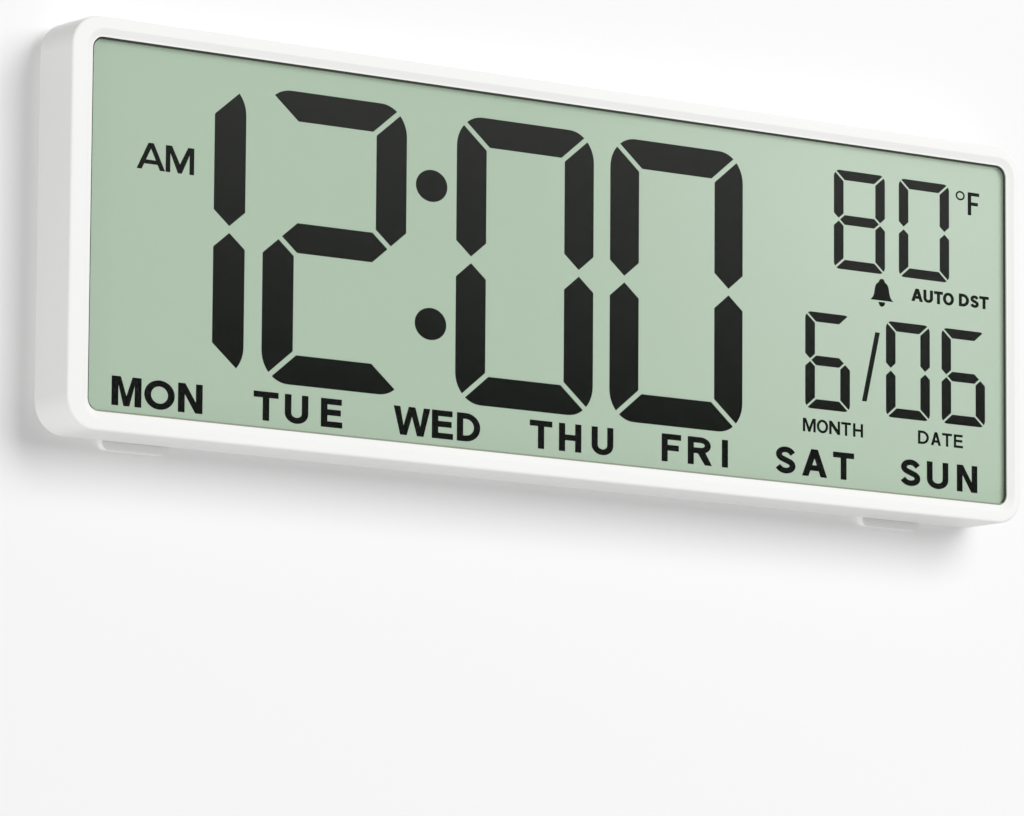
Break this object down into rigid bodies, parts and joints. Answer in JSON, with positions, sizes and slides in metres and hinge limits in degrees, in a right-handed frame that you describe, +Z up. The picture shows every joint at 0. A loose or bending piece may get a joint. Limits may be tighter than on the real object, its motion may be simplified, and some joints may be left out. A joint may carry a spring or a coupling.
{
  "type": "digital day clock",
  "caption": "Wide wall or table clock with a large reflective display of time, weekday, date and temperature, folding rear legs and keyholes.",
  "frame": {"origin": "midway between the round entries of the two wall keyholes, on the back plane that lies on the wall", "axes": "+X to the right seen from the front, +Y into the wall, +Z up; the display faces -Y"},
  "size_m": [0.419, 0.025, 0.1429],
  "materials": {
    "case_white": "satin white",
    "cover_white": "fine matte white",
    "gasket_black": "black rubber",
    "screw_steel": "zinc plated steel",
    "lcd_film": "clear polarising film",
    "lcd_glass": "clear float glass",
    "lcd_reflector": "green-grey reflector",
    "lcd_ink": "dark liquid crystal bars",
    "seal_epoxy": "pale sealant",
    "frame_grey": "grey moulded plastic",
    "zebra_rubber": "striped elastomer",
    "board_green": "solder-masked laminate",
    "chip_black": "moulded epoxy",
    "can_metal": "drawn metal can",
    "socket_cream": "nylon",
    "cable_grey": "vinyl ribbon",
    "wire_red": "vinyl",
    "wire_black": "vinyl",
    "buzzer_black": "moulded plastic",
    "sensor_bead": "epoxy bead",
    "switch_black": "moulded plastic",
    "button_grey": "satin pale grey",
    "cell_wrap": "printed sleeve",
    "contact_nickel": "nickel plated spring steel",
    "pin_steel": "steel rod"
  },
  "bodies": {
    "case": {"front_housing": "case_white", "rear_cover": "cover_white", "window_gasket": "gasket_black", "cover_screws": "screw_steel", "lcd_front_film": "lcd_film", "lcd_front_glass": "lcd_glass", "lcd_rear_glass": "lcd_glass", "lcd_reflector": "lcd_reflector", "lcd_edge_seal": "seal_epoxy", "lcd_frame": "frame_grey", "zebra_strips": "zebra_rubber", "lcd_time_bars": "lcd_ink", "lcd_temperature_bars": "lcd_ink", "lcd_date_bars": "lcd_ink", "main_board": "board_green", "driver_board": "board_green", "board_screws": "screw_steel", "controller_chip": "chip_black", "quartz_crystal": "can_metal", "display_driver_chips": "chip_black", "capacitors": "can_metal", "cable_sockets": "socket_cream", "flat_cable": "cable_grey", "battery_lead_red": "wire_red", "battery_lead_black": "wire_black", "buzzer_wires": "wire_red", "piezo_buzzer": "buzzer_black", "temperature_sensor": "sensor_bead", "key_switches": "switch_black", "aa_cell_1": "cell_wrap", "aa_cell_2": "cell_wrap", "aa_cell_3": "cell_wrap", "aa_cell_4": "cell_wrap", "battery_contacts": "contact_nickel", "battery_springs": "contact_nickel", "left_leg_pin": "pin_steel", "right_leg_pin": "pin_steel"},
    "battery_door": {"battery_door": "cover_white"},
    "left_leg": {"left_leg": "cover_white"},
    "right_leg": {"right_leg": "cover_white"},
    "mode_button": {"mode_button": "button_grey", "mode_plunger": "switch_black"},
    "up_button": {"up_button": "button_grey", "up_plunger": "switch_black"},
    "down_button": {"down_button": "button_grey", "down_plunger": "switch_black"},
    "alarm_button": {"alarm_button": "button_grey", "alarm_plunger": "switch_black"},
    "units_button": {"units_button": "button_grey", "units_plunger": "switch_black"}
  },
  "joints": [
    {"name": "battery_door_hinge", "type": "hinge", "parent": "case", "child": "battery_door", "pos_m": [0, -0.0024, -0.05555], "axis": [-1, 0, 0], "range_deg": [0, 90]},
    {"name": "left_leg_hinge", "type": "hinge", "parent": "case", "child": "left_leg", "pos_m": [-0.1685, -0.0026, -0.0489], "axis": [1, 0, 0], "range_deg": [0, 28]},
    {"name": "right_leg_hinge", "type": "hinge", "parent": "case", "child": "right_leg", "pos_m": [0.1635, -0.0026, -0.0489], "axis": [1, 0, 0], "range_deg": [0, 28]},
    {"name": "mode_press", "type": "slide", "parent": "case", "child": "mode_button", "axis": [0, -1, 0], "range_m": [0, 0.0005], "stiffness_N_per_m": 600},
    {"name": "up_press", "type": "slide", "parent": "case", "child": "up_button", "axis": [0, -1, 0], "range_m": [0, 0.0005], "stiffness_N_per_m": 600},
    {"name": "down_press", "type": "slide", "parent": "case", "child": "down_button", "axis": [0, -1, 0], "range_m": [0, 0.0005], "stiffness_N_per_m": 600},
    {"name": "alarm_press", "type": "slide", "parent": "case", "child": "alarm_button", "axis": [0, -1, 0], "range_m": [0, 0.0005], "stiffness_N_per_m": 600},
    {"name": "units_press", "type": "slide", "parent": "case", "child": "units_button", "axis": [0, -1, 0], "range_m": [0, 0.0005], "stiffness_N_per_m": 600}
  ]
}
